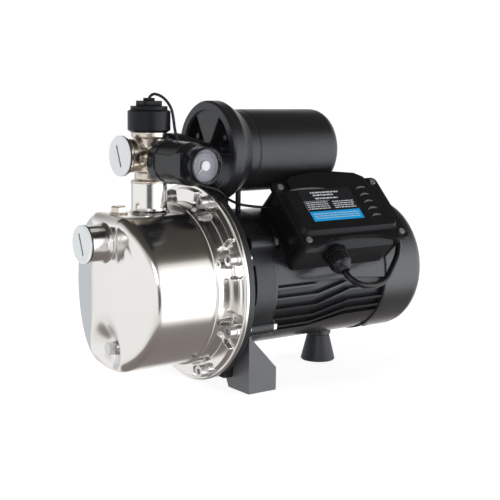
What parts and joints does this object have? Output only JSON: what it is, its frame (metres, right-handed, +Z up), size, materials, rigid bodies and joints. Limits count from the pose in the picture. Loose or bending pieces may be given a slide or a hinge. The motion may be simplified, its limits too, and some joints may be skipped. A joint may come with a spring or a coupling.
{
  "type": "shallow well jet pump",
  "caption": "Self-priming jet pump: ridged stainless casing bolted to a finned motor, with pressure tank, switch, gauge and terminal box on top.",
  "frame": {"origin": "centre of the front foot's two bolt holes, at floor level under the pump axis", "axes": "+X along the pump axis from the suction end to the fan end, +Z up, +Y to the side away from the terminal box"},
  "size_m": [0.416, 0.3296, 0.3177],
  "materials": {
    "polished_steel": "polished",
    "nickel_brass": "polished",
    "zinc_steel": "satin",
    "dark_steel": "satin",
    "brass": "satin",
    "black_iron": "satin",
    "black_paint": "satin",
    "grey_paint": "satin",
    "rotor_metal": "satin",
    "copper_winding": "matte",
    "ceramic": "gloss",
    "black_plastic": "satin",
    "white_plastic": "satin",
    "grey_plastic": "satin",
    "label_film": "gloss",
    "black_rubber": "matte",
    "dial_face": "satin",
    "clear_lens": "gloss"
  },
  "bodies": {
    "pump": {"pump_casing": "polished_steel", "port_sockets": "polished_steel", "suction_cap": "white_plastic", "outlet_cap": "white_plastic", "priming_plug": "brass", "drain_plug": "zinc_steel", "flange_bolts": "zinc_steel", "casing_seal": "black_rubber", "seal_plate": "polished_steel", "diffuser": "black_plastic", "venturi_tube": "black_plastic", "jet_nozzle": "black_plastic", "check_valve_seat": "white_plastic", "seal_seat": "ceramic", "motor_bracket": "black_iron", "bracket_bolts": "dark_steel", "motor_housing": "black_paint", "stator_core": "dark_steel", "stator_windings": "copper_winding", "bearing_outer_rings": "dark_steel", "rear_end_shield": "black_paint", "fan_cover": "black_paint", "fan_cover_screws": "dark_steel", "front_foot": "grey_paint", "foot_bolts": "zinc_steel", "rear_foot": "black_rubber", "terminal_box_base": "black_plastic", "terminal_box_lid": "black_plastic", "lid_screws": "dark_steel", "rating_label": "label_film", "run_capacitor": "grey_plastic", "terminal_block": "white_plastic", "cable_gland": "black_plastic", "gland_nut": "black_plastic", "five_way_connector": "nickel_brass", "pressure_switch_base": "black_plastic", "pressure_switch_cover": "black_plastic", "switch_spring": "zinc_steel", "switch_lead": "black_rubber", "union_collars": "black_plastic", "gauge_holder": "black_plastic", "gauge_case": "black_plastic", "gauge_dial": "dial_face", "gauge_lens": "clear_lens", "tank_front_cover": "black_plastic", "tank_shell": "black_plastic", "tank_bladder": "black_rubber", "power_cord": "black_rubber", "cord_coil": "black_rubber", "mains_plug": "black_rubber"},
    "rotor": {"rotor_shaft": "zinc_steel", "rotor_core": "rotor_metal", "impeller": "brass", "impeller_nut": "zinc_steel", "seal_ring": "dark_steel", "bearing_inner_rings": "dark_steel", "cooling_fan": "black_plastic"},
    "gauge_needle": {"gauge_pointer": "white_plastic"},
    "valve_poppet": {"check_valve_poppet": "white_plastic"},
    "switch_rod": {"switch_plunger": "zinc_steel"}
  },
  "joints": [
    {"name": "rotor_spin", "type": "hinge", "parent": "pump", "child": "rotor", "pos_m": [0, 0, 0.112], "axis": [1, 0, 0], "continuous": true},
    {"name": "gauge_pointer_turn", "type": "hinge", "parent": "pump", "child": "gauge_needle", "pos_m": [-0.091, 0, 0.248], "axis": [0, 1, 0], "range_deg": [0, 270]},
    {"name": "check_valve_slide", "type": "slide", "parent": "pump", "child": "valve_poppet", "axis": [1, 0, 0], "range_m": [0, 0.005], "stiffness_N_per_m": 20, "springref_m": -0.002},
    {"name": "switch_rod_slide", "type": "slide", "parent": "pump", "child": "switch_rod", "axis": [0, 0, 1], "range_m": [0, 0.0015], "stiffness_N_per_m": 400, "springref_m": -0.001, "deforming": ["switch_spring"]}
  ]
}
